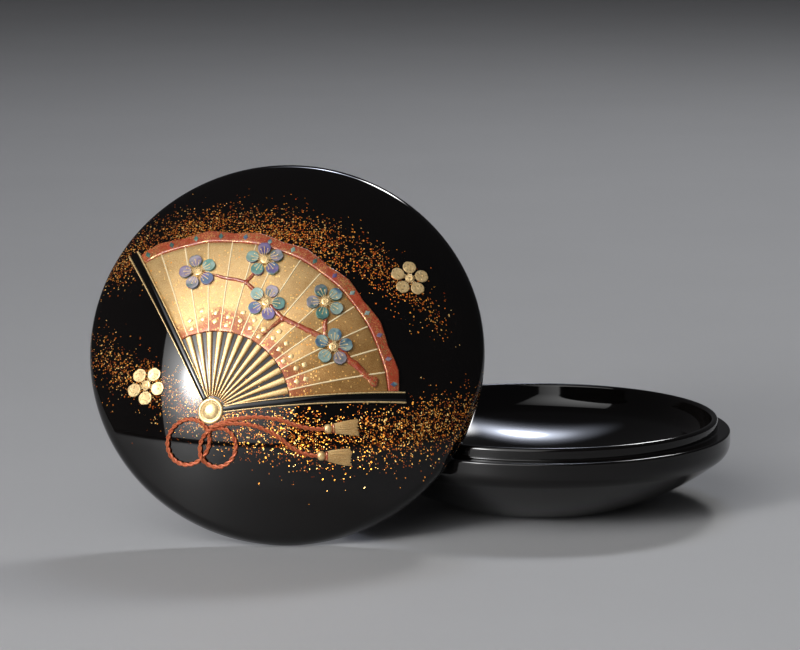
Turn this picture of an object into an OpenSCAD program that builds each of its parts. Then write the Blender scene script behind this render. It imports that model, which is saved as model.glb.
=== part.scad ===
// Round lacquered incense box: a wide low base and a domed lid that stands on edge and leans on it.
// Each half is a turned wood core inside a lacquer coat. The lid's crown carries a raised folding fan.
// Millimetres. The origin is the middle of the base's flat foot, +Z is up and the lid's crown faces -Y.

/* [Box] */
// Outside diameter of the closed box
box_d = 76; // [68:1:90]
// Radius of the sphere that the lid's crown and the underside of the base follow
crown_r = 60; // [54:1:66]
// Rounding between that sphere and the upright band
edge_r = 3.5; // [2.5:0.1:5]
// Height of the upright band on the lid
lid_band = 1.2; // [0.8:0.1:3]
// Height of the upright band on the base
base_band = 2.35; // [1.6:0.05:4]
// Diameter of the flat foot
foot_d = 35; // [28:1:42]
// Softened edge where the lid and the base meet
meet_round = 0.4; // [0.2:0.1:0.7]

/* [Lip and hollows] */
// Height of the lip that the lid drops over
lip_h = 2.5; // [1.5:0.1:3]
// Radius of the round top of the lip
lip_round = 0.7; // [0.6:0.05:0.9]
// Thickness of the lid's rim outside the lip
rim_t = 2.35; // [2:0.05:3]
// Clearance round the lip when the box is closed
lip_gap = 0.15; // [0.05:0.05:0.3]
// Clearance over the lip when the box is closed
lip_top_gap = 0.1; // [0.05:0.05:0.3]
// Thickness of the lid under its crown
lid_t = 2.8; // [2:0.1:4]
// Thickness of the base between the foot and the bowl
floor_t = 4.8; // [3:0.1:5.2]
// Radius of the sphere that the bowl's floor follows
bowl_r = 72; // [64:1:85]
// Rounding between the bowl's floor and its wall
bowl_edge_r = 4.8; // [2:0.1:5.2]
// How far the bowl's wall leans outwards, in degrees
wall_lean = 10; // [6:0.5:12]
// Thickness of the lacquer on the wood
coat_t = 0.4; // [0.3:0.05:0.5]

/* [Lid beside the base] */
// How far the lid leans back from upright, in degrees
lid_lean = 26.5; // [18:0.5:32]
// How far the middle of the lid stands to the left of the middle of the base
lid_shift = 49.5; // [44:0.5:58]
// Gap between the leaning lid and the shoulder of the base
lean_gap = 0.3; // [0.2:0.1:1]

/* [Raised fan] */
// Bare lacquer kept between the raised design and the edge of the crown
design_margin = 1.2; // [0.5:0.1:4]
// Place of the fan's rivet to the right of the middle of the lid
fan_x = -14; // [-18:0.5:-8]
// Place of the fan's rivet above the middle of the lid
fan_y = -15; // [-20:0.5:-10]
// Direction in which the fan opens, in degrees from the right
fan_turn = 60; // [50:1:70]
// Angle between the two guard sticks
fan_spread = 110; // [90:1:124]
// Length from the rivet to the outer edge of the leaf
fan_r = 36; // [32:0.5:39]
// Depth of the leaf
leaf_w = 21; // [18:0.5:24]
// Width of the coloured border along the outer edge of the leaf
border_w = 2.4; // [1.6:0.1:3.2]
// Number of folded panels in the leaf
panels = 14; // [10:1:18]
// Width of a fold line
fold_w = 0.4; // [0.2:0.05:0.6]
// Share of the space between two ribs that is left open
rib_open = 0.34; // [0.2:0.02:0.5]
// Gap between the rivet and the ribs
rib_gap = 0.3; // [0.2:0.05:0.8]
// Width of a guard stick at its outer end
guard_w = 2.2; // [1.4:0.1:3]
// Width of a guard stick beside the rivet
guard_root_w = 1.3; // [0.9:0.1:1.8]
// How far the guard sticks reach past the leaf
guard_past = 0.8; // [0.4:0.1:2]
// Diameter of the rivet
rivet_d = 4.8; // [4:0.1:6]
// Width of the cord
cord_w = 0.9; // [0.6:0.05:1.2]
// Length of a tassel's skirt
tassel_l = 6.5; // [4:0.5:8]
// Width of a tassel's skirt at its end
tassel_w = 3; // [2:0.1:3.6]

/* [Blossoms and inlays] */
// Number of petals in a blossom
petals = 5; // [4:1:5]
// Radius of one petal
petal_r = 1.3; // [0.9:0.05:1.35]
// Distance from the middle of a blossom to the middle of a petal
petal_reach = 2.35; // [2.3:0.05:2.8]
// Radius of the gold disc in the middle of a blossom
eye_r = 0.85; // [0.6:0.05:0.9]
// How much wider than the branch its knots are
knot_swell = 1.3; // [1.1:0.05:1.6]
// Side of a cut gold square
square_s = 0.9; // [0.6:0.05:1]
// Distance from the inner edge of the leaf to the middle of the first gold squares
square_start = 1.3; // [1:0.1:2]
// Distance between the two gold squares of a panel
square_step = 1.7; // [1.5:0.1:2]
// How far the squares of one panel lie beyond those of the panel before it
square_stagger = 0.7; // [0:0.1:1]
// Turn from one gold square to the next, in degrees
square_turn = 30; // [0:5:45]
// Long diagonal of a shell chip
chip_l = 1.5; // [1:0.1:1.6]
// Short diagonal of a shell chip
chip_w = 1; // [0.6:0.1:1.2]

/* [Relief] */
// Lacquer film under each raised piece
bed = 0.03; // [0.02:0.01:0.06]
// Height of the fan's leaf
leaf_t = 0.35; // [0.25:0.05:0.5]
// Height of the border, guard sticks, ribs, cord and tassels
trim_t = 0.5; // [0.35:0.05:0.7]
// Height of the fold lines, cut gold squares and shell chips
line_t = 0.1; // [0.06:0.02:0.16]
// Height of the branch
branch_t = 0.2; // [0.15:0.05:0.3]
// Height of the petals
petal_t = 0.2; // [0.1:0.05:0.3]
// Height of the eye of a blossom
eye_t = 0.3; // [0.2:0.05:0.4]
// Height of the rivet
rivet_t = 0.8; // [0.6:0.05:1]

/* [Hidden] */
$fn = 240;

// Overrun of a cutting shape past what it cuts
over = 1;

// Outer shape, shared by both halves: a sphere, an edge arc tangent to it, and an upright band
box_r = box_d / 2;
edge_mid_r = box_r - edge_r;
edge_sine = edge_mid_r / (crown_r - edge_r);
sphere_drop = sqrt(pow(crown_r - edge_r, 2) - pow(edge_mid_r, 2));
crown_edge_r = crown_r * edge_sine;
lid_sphere_h = lid_band - sphere_drop;
base_h = base_band - sphere_drop + sqrt(pow(crown_r, 2) - pow(foot_d / 2, 2));

// Lip and the bore that drops over it
bore_r = box_r - rim_t;
bore_h = lip_h + lip_top_gap;
lip_r = bore_r - lip_gap;
lip_mid_r = lip_r - lip_round;
base_top = base_h + lip_h;
lip_mid_z = base_top - lip_round;

// Bowl: a shallow sphere, a straight wall tangent to the round top of the lip, and an edge arc tangent to both
bowl_mid_z = floor_t + bowl_r;
wall_in = [-cos(wall_lean), sin(wall_lean)];
wall_down = [-sin(wall_lean), -cos(wall_lean)];
wall_from = [lip_mid_r, lip_mid_z - bowl_mid_z] + (lip_round + bowl_edge_r) * wall_in;
wall_share = wall_from * wall_down;
wall_l = sqrt(pow(wall_share, 2) + pow(bowl_r - bowl_edge_r, 2) - wall_from * wall_from) - wall_share;
bowl_edge_mid = wall_from + wall_l * wall_down + [0, bowl_mid_z];
bowl_edge_sine = bowl_edge_mid[0] / (bowl_r - bowl_edge_r);

// Place of the lid: its rim touches the ground and its right side comes up to the shoulder of the base
lid_z = (box_r - meet_round) * cos(lid_lean) + meet_round * (1 - sin(lid_lean));
shoulder_drop = lid_z - base_h;
touch_x = sqrt(pow(box_r, 2) - pow(shoulder_drop / cos(lid_lean), 2)) - lid_shift;
lid_y = shoulder_drop * tan(lid_lean) - sqrt(pow(box_r + lean_gap, 2) - pow(touch_x, 2));

// Levels of the raised design above the crown
leaf_top = bed + leaf_t;
trim_top = bed + trim_t;
line_top = leaf_top + bed + line_t;
branch_top = line_top + bed + branch_t;

// Layout of the fan
design_r = crown_edge_r - design_margin;
panel_turn = fan_spread / panels;
leaf_in_r = fan_r - leaf_w;
border_in_r = fan_r - border_w;
rivet_r = rivet_d / 2;
root_r = rivet_r + bed;

// Number of panels after which the stagger of the gold squares starts again
stagger_panels = 3;

// Cord loops: middle to the right of the rivet, middle above it, radius
CORD_LOOPS = [[-4.2, -5.2, 4], [1.4, -6.6, 3.4]];
// Cord tails, each an arc that bends down and then one that bends up again: middle of the first arc to the right
// of the rivet and above it, its radius, its first and last angle, then the radius and the turn of the second arc
CORD_TAILS = [[8, -23, 21.5, 112, 70, 14, 25], [4, -18.5, 16, 104, 50, 9, 40]];
// Angle by which the two arcs of a tail run into each other
tail_lap = 1;
// Straight strokes of the plum branch: each end to the right of the rivet, above it, and the width there
BRANCH = [[30.5, 5.6, 1.5], [21.5, 13.2, 1.2], [13.5, 17, 1], [6.5, 24.5, 0.8], [-3.2, 27.5, 0.5]];
// Its twigs: the number of the stroke they leave, then their own end and the width there
TWIGS = [[1, [21.4, 20.4, 0.5]], [2, [9.8, 13.8, 0.4]], [3, [10, 29, 0.4]]];
// Blossoms on the leaf: right of the rivet, above it, turn
LEAF_BLOSSOMS = [[23, 11.6, 12], [21.5, 20.4, 40], [10.4, 20.2, -8], [10, 29, 20], [-2.6, 27.2, 30]];
// Blossoms on the bare lacquer: right of the middle of the lid, above it, turn
GROUND_BLOSSOMS = [[23.5, 12, 20], [-26.5, -9, 50]];

// Middle of the second arc of a cord tail, and the angle at which that arc ends
function tail_mid(tail) = let (reach = tail[2] + tail[5])
    [tail[0] + reach * cos(tail[4]), tail[1] + reach * sin(tail[4])];
function tail_last(tail) = tail[4] + 180 + tail[6];

// Upright half outline of one half of the box, drawn inwards by inset
module half_outline(inset, band) {
    square([box_r - inset, band]);
    intersection() {
        translate([edge_mid_r, band]) circle(edge_r - inset);
        square([box_r, crown_r]);
    }
    intersection() {
        translate([0, band - sphere_drop]) circle(crown_r - inset);
        square([(crown_r - inset) * edge_sine, crown_r]);
    }
}

// What a rounding takes off an outer corner at the origin, with the solid to the lower left
module corner_cut(radius) {
    if (radius > 0)
        translate([-radius, -radius]) difference() {
            square(radius + over);
            circle(radius);
        }
}

// Hollow of the base, grown by grow
module bowl(grow) {
    intersection() {
        translate([0, bowl_mid_z]) circle(bowl_r + grow);
        square([(bowl_r + grow) * bowl_edge_sine, base_top + over]);
    }
    translate(bowl_edge_mid) circle(bowl_edge_r + grow);
    wall_end = bowl_edge_mid - (bowl_edge_r + grow) * wall_in;
    wall_start = [lip_mid_r, lip_mid_z] + (lip_round - grow) * wall_in;
    polygon([[0, bowl_edge_mid[1]], bowl_edge_mid, wall_end, wall_start, [wall_start[0], base_top + over],
        [0, base_top + over]]);
}

// Hollow of the lid, grown by grow: a bore for the lip and a dome above it
module lid_hollow(grow) {
    translate([0, -over]) square([bore_r + grow, bore_h + grow + over]);
    intersection() {
        translate([0, lid_sphere_h]) circle(crown_r - lid_t + grow);
        square([bore_r, crown_r]);
    }
}

// What the round top takes off the inner side of the lip, drawn inwards by inset
module lip_cut(inset) {
    reach = lip_round + over;
    translate([lip_mid_r, lip_mid_z]) difference() {
        polygon([[0, 0], [0, reach], [-reach, reach], reach * wall_in]);
        circle(lip_round - inset);
    }
}

// Half section of the base, drawn inwards by inset on every side
module base_section(inset) {
    difference() {
        union() {
            intersection() {
                translate([0, base_h]) mirror([0, 1]) half_outline(inset, base_band);
                translate([0, inset]) square([box_r, base_h - 2 * inset]);
            }
            translate([0, base_h - base_band]) square([lip_r - inset, lip_h + base_band - inset]);
        }
        bowl(inset);
        translate([lip_r - inset, base_top - inset]) corner_cut(lip_round - inset);
        lip_cut(inset);
        translate([box_r - inset, base_h - inset]) corner_cut(meet_round - inset);
    }
}

// Half section of the lid with its rim at height zero, drawn inwards by inset on every side
module lid_section(inset) {
    difference() {
        half_outline(inset, lid_band);
        translate([0, -over]) square([box_r, inset + over]);
        lid_hollow(inset);
        translate([box_r - inset, inset]) mirror([0, 1]) corner_cut(meet_round - inset);
    }
}

// Stands the lid on its rim, leaning back, beside the base
module place_lid() {
    translate([-lid_shift, lid_y, lid_z]) rotate([90 - lid_lean, 0, 0]) children();
}

// Lays a flat outline on the crown, from a level above the lacquer up to level plus height
module on_crown(level, height) {
    place_lid() intersection() {
        translate([0, 0, lid_sphere_h]) difference() {
            sphere(crown_r + level + height);
            sphere(crown_r + level);
        }
        linear_extrude(crown_r) intersection() {
            circle(design_r);
            children();
        }
    }
}

// Puts an outline at the rivet of the fan
module at_rivet() {
    translate([fan_x, fan_y]) children();
}

// Puts an outline at the rivet with the middle of the fan along +X
module along_fan() {
    at_rivet() rotate(fan_turn) children();
}

// Part of a ring between two angles less than half a turn apart
module ring_part(inner, outer, first, last) {
    reach = outer / cos((last - first) / 2) + over;
    difference() {
        intersection() {
            circle(outer);
            polygon([[0, 0], [reach * cos(first), reach * sin(first)], [reach * cos(last), reach * sin(last)]]);
        }
        circle(inner);
    }
}

// A cord of the fan's own width along an arc
module cord_arc(middle, radius, first, last) {
    translate(middle) ring_part(radius - cord_w / 2, radius + cord_w / 2, first, last);
}

// A straight stroke between two points, each with its own width
module stroke(from, to) {
    along = [to[0] - from[0], to[1] - from[1]];
    side = [-along[1], along[0]] / norm(along) / 2;
    start = [from[0], from[1]];
    end = [to[0], to[1]];
    polygon([start - side * from[2], end - side * to[2], end + side * to[2], start + side * from[2]]);
}

// A round knot at the end of a stroke, a little wider than the stroke
module knot(end) {
    translate([end[0], end[1]]) circle(d = end[2] * knot_swell);
}

// Cuts both guard sticks out of an outline
module clear_of_guards() {
    difference() {
        children();
        for (side = [-1, 1])
            rotate(side * fan_spread / 2) guard_outline(bed);
    }
}

// The leaf's sector between two radii
module leaf_part(inner, outer) {
    clear_of_guards() ring_part(inner, outer, -fan_spread / 2, fan_spread / 2);
}

// One guard stick along +X from the rivet, wider at its outer end, grown sideways by grow
module guard_outline(grow) {
    polygon([[root_r, -guard_root_w / 2 - grow], [fan_r + guard_past, -guard_w / 2 - grow],
        [fan_r + guard_past, guard_w / 2 + grow], [root_r, guard_root_w / 2 + grow]]);
}

// A ring of petals round the origin
module blossom() {
    for (k = [0 : petals - 1])
        rotate(k * 360 / petals) translate([petal_reach, 0]) circle(petal_r);
}

module base_core() {
    color("tan") rotate_extrude() base_section(coat_t);
}

module base_outer_coat() {
    color("black") rotate_extrude() difference() {
        base_section(0);
        base_section(coat_t);
        bowl(coat_t);
        square([box_r, coat_t]);
    }
}

module base_inner_coat() {
    color("black") rotate_extrude() intersection() {
        base_section(0);
        bowl(coat_t);
    }
}

module base_foot_coat() {
    color("black") rotate_extrude() intersection() {
        base_section(0);
        square([box_r, coat_t]);
    }
}

module lid_core() {
    color("tan") place_lid() rotate_extrude() lid_section(coat_t);
}

module lid_outer_coat() {
    color("black") place_lid() rotate_extrude() difference() {
        lid_section(0);
        lid_section(coat_t);
        lid_hollow(coat_t);
        square([box_r, coat_t]);
    }
}

module lid_inner_coat() {
    color("black") place_lid() rotate_extrude() difference() {
        intersection() {
            lid_section(0);
            lid_hollow(coat_t);
        }
        square([box_r, coat_t]);
    }
}

module lid_rim_coat() {
    color("black") place_lid() rotate_extrude() intersection() {
        lid_section(0);
        square([box_r, coat_t]);
    }
}

module fan_leaf() {
    color("goldenrod") on_crown(bed, leaf_t) along_fan() leaf_part(leaf_in_r, border_in_r - bed);
}

module fan_border() {
    color("sienna") on_crown(bed, trim_t) along_fan() leaf_part(border_in_r, fan_r);
}

module fan_fold_lines() {
    color("palegoldenrod") on_crown(leaf_top + bed, line_t) along_fan()
        for (k = [1 : panels - 1])
            rotate(k * panel_turn - fan_spread / 2)
                translate([leaf_in_r, -fold_w / 2]) square([border_in_r - bed - leaf_in_r, fold_w]);
}

module fan_ribs() {
    half_turn = panel_turn * (1 - rib_open) / 2;
    color("darkgoldenrod") on_crown(bed, trim_t) along_fan() clear_of_guards()
        for (k = [1 : panels - 1])
            rotate(k * panel_turn - fan_spread / 2)
                ring_part(rivet_r + rib_gap, leaf_in_r - bed, -half_turn, half_turn);
}

module fan_guard_sticks() {
    color("black") on_crown(bed, trim_t) along_fan()
        for (side = [-1, 1])
            rotate(side * fan_spread / 2) guard_outline(0);
}

module fan_rivet() {
    color("gold") on_crown(bed, rivet_t) at_rivet() circle(rivet_r);
}

module fan_cord() {
    color("firebrick") on_crown(bed, trim_t) at_rivet() difference() {
        union() {
            for (ring = CORD_LOOPS)
                translate([ring[0], ring[1]]) difference() {
                    circle(ring[2] + cord_w / 2);
                    circle(ring[2] - cord_w / 2);
                }
            for (tail = CORD_TAILS) {
                cord_arc([tail[0], tail[1]], tail[2], tail[4] - tail_lap, tail[3]);
                cord_arc(tail_mid(tail), tail[5], tail[4] + 180 - tail_lap, tail_last(tail));
            }
        }
        circle(root_r);
    }
}

module fan_tassels() {
    color("peru") on_crown(bed, trim_t) at_rivet()
        for (tail = CORD_TAILS)
            translate(tail_mid(tail)) rotate(tail_last(tail)) translate([tail[5], 0])
                polygon([[-cord_w, bed], [cord_w, bed], [tassel_w / 2, tassel_l], [-tassel_w / 2, tassel_l]]);
}

module plum_branch() {
    color("saddlebrown") on_crown(line_top + bed, branch_t) at_rivet() {
        for (k = [1 : len(BRANCH) - 1])
            stroke(BRANCH[k - 1], BRANCH[k]);
        for (end = BRANCH)
            knot(end);
        for (twig = TWIGS) {
            stroke(BRANCH[twig[0]], twig[1]);
            knot(twig[1]);
        }
    }
}

module shell_petals() {
    color("mediumaquamarine") on_crown(branch_top + bed, petal_t) at_rivet()
        for (place = LEAF_BLOSSOMS)
            translate([place[0], place[1]]) rotate(place[2]) blossom();
}

module gold_petals() {
    color("khaki") on_crown(bed, petal_t)
        for (place = GROUND_BLOSSOMS)
            translate([place[0], place[1]]) rotate(place[2]) blossom();
}

module petal_eyes() {
    color("gold") {
        on_crown(branch_top + bed, eye_t) at_rivet()
            for (place = LEAF_BLOSSOMS)
                translate([place[0], place[1]]) circle(eye_r);
        on_crown(bed, eye_t)
            for (place = GROUND_BLOSSOMS)
                translate([place[0], place[1]]) circle(eye_r);
    }
}

// Two gold squares on each panel between the end ones, in a loose band along the inner edge of the leaf
module cut_gold_squares() {
    color("lemonchiffon") on_crown(leaf_top + bed, line_t) along_fan()
        for (k = [1 : panels - 2], row = [0, 1])
            rotate((k + 0.5) * panel_turn - fan_spread / 2)
                translate([leaf_in_r + square_start + square_step * row + square_stagger * (k % stagger_panels), 0])
                    rotate(square_turn * (k + row)) square(square_s, center = true);
}

// A shell lozenge in the middle of each panel of the border
module shell_chips() {
    color("lightskyblue") on_crown(trim_top + bed, line_t) along_fan()
        for (k = [0 : panels - 1])
            rotate((k + 0.5) * panel_turn - fan_spread / 2)
                translate([(border_in_r + fan_r) / 2, 0])
                    polygon([[chip_l / 2, 0], [0, chip_w / 2], [-chip_l / 2, 0], [0, -chip_w / 2]]);
}

base_core();
base_outer_coat();
base_inner_coat();
base_foot_coat();
lid_core();
lid_outer_coat();
lid_inner_coat();
lid_rim_coat();
fan_leaf();
fan_border();
fan_fold_lines();
fan_ribs();
fan_guard_sticks();
fan_rivet();
fan_cord();
fan_tassels();
plum_branch();
shell_petals();
gold_petals();
petal_eyes();
cut_gold_squares();
shell_chips();
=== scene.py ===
"""Looks of a round lacquered incense box: an open base and a domed lid with a raised folding fan.

The lid stands on its rim and leans on the base. Sizes are in millimetres, as in the frame, and become metres
where a mesh, a lamp or the camera is made.
"""
import math
import random

import bmesh
import bpy
from mathutils import Matrix, Vector, noise


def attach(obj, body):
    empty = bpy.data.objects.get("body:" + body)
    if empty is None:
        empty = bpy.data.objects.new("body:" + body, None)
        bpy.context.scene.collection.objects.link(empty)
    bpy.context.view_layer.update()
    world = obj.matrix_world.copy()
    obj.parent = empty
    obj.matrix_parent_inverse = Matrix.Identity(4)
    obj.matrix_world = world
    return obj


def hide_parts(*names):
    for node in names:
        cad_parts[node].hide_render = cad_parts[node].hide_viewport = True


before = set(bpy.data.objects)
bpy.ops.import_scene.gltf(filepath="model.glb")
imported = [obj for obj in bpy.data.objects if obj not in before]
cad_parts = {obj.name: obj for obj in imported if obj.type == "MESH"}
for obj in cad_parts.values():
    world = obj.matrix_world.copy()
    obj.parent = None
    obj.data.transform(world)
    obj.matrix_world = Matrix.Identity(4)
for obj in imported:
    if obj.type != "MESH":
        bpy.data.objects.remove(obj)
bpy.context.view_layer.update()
scene = bpy.context.scene

MM = 0.001

# Box
BOX_R = 38
CROWN_R = 60
EDGE_R = 3.5
LID_BAND = 1.2
BASE_BAND = 2.35
FOOT_R = 17.5
MEET_ROUND = 0.4
LIP_H = 2.5
LIP_ROUND = 0.7
RIM_T = 2.35
LIP_GAP = 0.15
LIP_TOP_GAP = 0.1
LID_T = 2.8
FLOOR_T = 4.8
BOWL_R = 72
BOWL_EDGE_R = 4.8
WALL_LEAN = 10
LID_LEAN = 26.5
LID_SHIFT = 49.5
LEAN_GAP = 0.3

# Meshes: steps round a turned piece, radius that counts as the axis, sharpest smooth edge in degrees
TURNS = 240
ON_AXIS = 1e-4
SHARP_ANGLE = 40
# Angles of the extra rows on a rounded edge, and rows on each pleat of the fan
EDGE_ROWS = (0, 25, 50, 75)
PLEAT_ROWS = 8

# Small roundings that a brush of lacquer leaves in the corners
FOOT_ROUND = 1
LIP_ROOT_ROUND = 0.25
BORE_ROUND = 0.3
LEDGE_ROUND = 0.5

# Raised fan
FAN_X = -14
FAN_Y = -15
FAN_TURN = 60
FAN_SPREAD = 110
FAN_R = 36
LEAF_W = 21
BORDER_W = 2.4
PANELS = 14
FOLD_W = 0.4
RIB_OPEN = 0.34
RIB_GAP = 0.3
GUARD_W = 2.2
GUARD_ROOT_W = 1.3
GUARD_PAST = 0.8
RIVET_R = 2.4
TASSEL_L = 6.5
TASSEL_W = 3

# Blossoms and inlays
PETALS = 5
PETAL_R = 1.3
PETAL_REACH = 2.35
EYE_R = 0.85
KNOT_SWELL = 1.3
SQUARE_S = 0.9
SQUARE_START = 1.3
SQUARE_STEP = 1.7
SQUARE_STAGGER = 0.7
SQUARE_TURN = 30
STAGGER_PANELS = 3
SQUARE_EDGE = 0.06
CHIP_L = 1.5
CHIP_W = 1
CHIP_SIDE = 0.9
CHIP_EDGE = 0.08
BEADS = 8
BEAD_R = 0.2
STAMENS = 3
STAMEN_TURN = 17
STAMEN_R = 0.07
STAMEN_SINK = 0.06
TIP_R = 0.16

# Relief above the crown
BED = 0.03
SUNK = -0.04
LEAF_T = 0.35
PLEAT = 0.24
TRIM_T = 0.5
LINE_T = 0.1
THREAD_T = 0.16
BRANCH_T = 0.25
PETAL_T = 0.22
EYE_T = 0.3
RIVET_T = 0.8
HIDDEN = 0.35

# Cord loops: middle to the right of the rivet, middle above it, radius
CORD_LOOPS = [(-4.2, -5.2, 4), (1.4, -6.6, 3.4)]
# Cord tails: middle, radius, first and last angle of the first arc, radius and turn of the second arc
CORD_TAILS = [(8, -23, 21.5, 112, 70, 14, 25), (4, -18.5, 16, 104, 50, 9, 40)]
# Plum branch and twigs, from the rivet: right, up, width; a twig starts at a numbered point of the branch
BRANCH = [(30.5, 5.6, 1.5), (21.5, 13.2, 1.2), (13.5, 17, 1), (6.5, 24.5, 0.8), (-3.2, 27.5, 0.5)]
TWIGS = [(1, (21.4, 20.4, 0.5)), (2, (9.8, 13.8, 0.4)), (3, (10, 29, 0.4))]
# Blossoms: right of the rivet or of the middle of the lid, above it, turn
LEAF_BLOSSOMS = [(23, 11.6, 12), (21.5, 20.4, 40), (10.4, 20.2, -8), (10, 29, 20), (-2.6, 27.2, 30)]
GROUND_BLOSSOMS = [(23.5, 12, 20), (-26.5, -9, 50)]

# Sections of the small raised pieces, from the rim inwards: share of the outline, rise over the top
PETAL_DOME = ((1, -0.08), (0.96, -0.01), (0.9, 0), (0.75, -0.015), (0.5, -0.035), (0.25, -0.05), (0, -0.055))
EYE_DOME = ((1, -0.14), (0.9, -0.06), (0.7, -0.04), (0.4, 0), (0, 0.02))
BEAD_DOME = ((1, -0.1), (0.9, 0.03), (0.6, 0.1), (0, 0.14))
TIP_DOME = ((1, -0.14), (0.9, -0.02), (0.6, 0.05), (0, 0.08))
KNOT_DOME = ((0.96, -0.14), (0.75, -0.02), (0.4, 0.04), (0, 0.06))
HEAD_DOME = ((1, 0.25), (0.9, 0.5), (0.7, 0.68), (0.4, 0.78), (0, 0.82))
# Section of the rivet: share of its radius, share of its height
RIVET_DOME = ((1, 0.4), (0.96, 0.62), (0.88, 0.72), (0.78, 0.7), (0.72, 0.55), (0.66, 0.52), (0.6, 0.66),
              (0.5, 0.85), (0.34, 0.96), (0.16, 1), (0, 1))
# Stripes along a guard stick: first and last share of its width, number of the material, swell
GUARD_STRIPES = ((0, 0.16, 1, 0.04), (0.16, 0.84, 0, 0.1), (0.84, 1, 1, 0.04))

# Worked out from the sizes above
EDGE_MID_R = BOX_R - EDGE_R
SPHERE_DROP = math.sqrt((CROWN_R - EDGE_R) ** 2 - EDGE_MID_R ** 2)
EDGE_ANGLE = math.degrees(math.acos(EDGE_MID_R / (CROWN_R - EDGE_R)))
SPHERE_H = LID_BAND - SPHERE_DROP
BASE_SPHERE_Z = math.sqrt(CROWN_R ** 2 - FOOT_R ** 2)
BASE_H = BASE_BAND - SPHERE_DROP + BASE_SPHERE_Z
BORE_R = BOX_R - RIM_T
BORE_H = LIP_H + LIP_TOP_GAP
LIP_R = BORE_R - LIP_GAP
LIP_MID_R = LIP_R - LIP_ROUND
BASE_TOP = BASE_H + LIP_H
LIP_MID_Z = BASE_TOP - LIP_ROUND
BOWL_MID_Z = FLOOR_T + BOWL_R
BOWL_REACH = BOWL_R - BOWL_EDGE_R
WALL_SINE = math.sin(math.radians(WALL_LEAN))
WALL_COSINE = math.cos(math.radians(WALL_LEAN))
WALL_FROM_R = LIP_MID_R - (LIP_ROUND + BOWL_EDGE_R) * WALL_COSINE
WALL_FROM_Z = LIP_MID_Z + (LIP_ROUND + BOWL_EDGE_R) * WALL_SINE - BOWL_MID_Z
WALL_SHARE = WALL_FROM_R * WALL_SINE + WALL_FROM_Z * WALL_COSINE
WALL_L = WALL_SHARE + math.sqrt(WALL_SHARE ** 2 + BOWL_REACH ** 2 - WALL_FROM_R ** 2 - WALL_FROM_Z ** 2)
BOWL_EDGE_MID_R = WALL_FROM_R - WALL_L * WALL_SINE
BOWL_EDGE_Z = BOWL_MID_Z + WALL_FROM_Z - WALL_L * WALL_COSINE
LEAN = math.radians(LID_LEAN)
LID_Z = (BOX_R - MEET_ROUND) * math.cos(LEAN) + MEET_ROUND * (1 - math.sin(LEAN))
SHOULDER_DROP = LID_Z - BASE_H
TOUCH_X = math.sqrt(BOX_R ** 2 - (SHOULDER_DROP / math.cos(LEAN)) ** 2) - LID_SHIFT
LID_Y = SHOULDER_DROP * math.tan(LEAN) - math.sqrt((BOX_R + LEAN_GAP) ** 2 - TOUCH_X ** 2)
LID_MIDDLE = Vector((-LID_SHIFT, LID_Y, LID_Z))
LID_TILT = math.pi / 2 - LEAN
LID_PLACE = Matrix.Translation(LID_MIDDLE) @ Matrix.Rotation(LID_TILT, 4, "X")
CROWN_MIDDLE = LID_PLACE @ Vector((0, 0, SPHERE_H))
PANEL_TURN = FAN_SPREAD / PANELS
LEAF_IN_R = FAN_R - LEAF_W
BORDER_IN_R = FAN_R - BORDER_W
ROOT_R = RIVET_R + BED
LEAF_TOP = BED + LEAF_T
VALLEY = LEAF_TOP - PLEAT / 2
TRIM_TOP = BED + TRIM_T
LINE_TOP = LEAF_TOP + BED + LINE_T
BRANCH_TOP = LINE_TOP + BED + BRANCH_T


# Places on the lid

def on_crown(x, y, rise):
    """Point over the crown: x and y across the lid from its middle, rise along the crown's normal."""
    depth = math.sqrt(CROWN_R ** 2 - x * x - y * y)
    reach = 1 + rise / CROWN_R
    return LID_PLACE @ Vector((x * reach, y * reach, SPHERE_H + depth * reach))


def from_rivet(x, y):
    """Place on the lid, given from the fan's rivet."""
    return FAN_X + x, FAN_Y + y


def turned(x, y, degrees):
    """A flat point turned about the origin."""
    angle = math.radians(degrees)
    return x * math.cos(angle) - y * math.sin(angle), x * math.sin(angle) + y * math.cos(angle)


def fan_place(radius, degrees):
    """Place on the lid, given by the distance from the rivet and the angle from the middle of the fan."""
    return from_rivet(*turned(radius, 0, FAN_TURN + degrees))


def mix(first, last, share):
    return first + (last - first) * share


# Meshes

class Build:
    """Points and faces of one piece in millimetres, gathered patch by patch."""

    def __init__(self):
        self.points = []
        self.marks = []
        self.faces = []
        self.paints = []

    def add(self, points, faces, marks=None, paint=0):
        """Adds a patch. A mark is a point's place in the patch, and paint is the number of its material."""
        start = len(self.points)
        self.points += points
        self.marks += marks or [(0, 0)] * len(points)
        self.faces += [[start + k for k in face] for face in faces]
        self.paints += [paint] * len(faces)

    def piece(self, name, materials, body, nodes, normals=None):
        """Makes the mesh, puts it on its body and in the place of its nodes."""
        mesh = bpy.data.meshes.new(name)
        mesh.from_pydata([point * MM for point in self.points], [], self.faces)
        for material in materials:
            mesh.materials.append(material)
        mesh.polygons.foreach_set("material_index", self.paints)
        layer = mesh.uv_layers.new(name="patch")
        for loop, mark in zip(mesh.loops, layer.data):
            mark.uv = self.marks[loop.vertex_index]
        if normals:
            mesh.shade_smooth()
            mesh.normals_split_custom_set_from_vertices(normals)
        else:
            sheet = bmesh.new()
            sheet.from_mesh(mesh)
            bmesh.ops.recalc_face_normals(sheet, faces=sheet.faces)
            sheet.to_mesh(mesh)
            sheet.free()
            mesh.shade_smooth()
            mesh.set_sharp_from_angle(angle=math.radians(SHARP_ANGLE))
        made = bpy.data.objects.new(name, mesh)
        scene.collection.objects.link(made)
        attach(made, body)
        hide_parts(*nodes)


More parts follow.
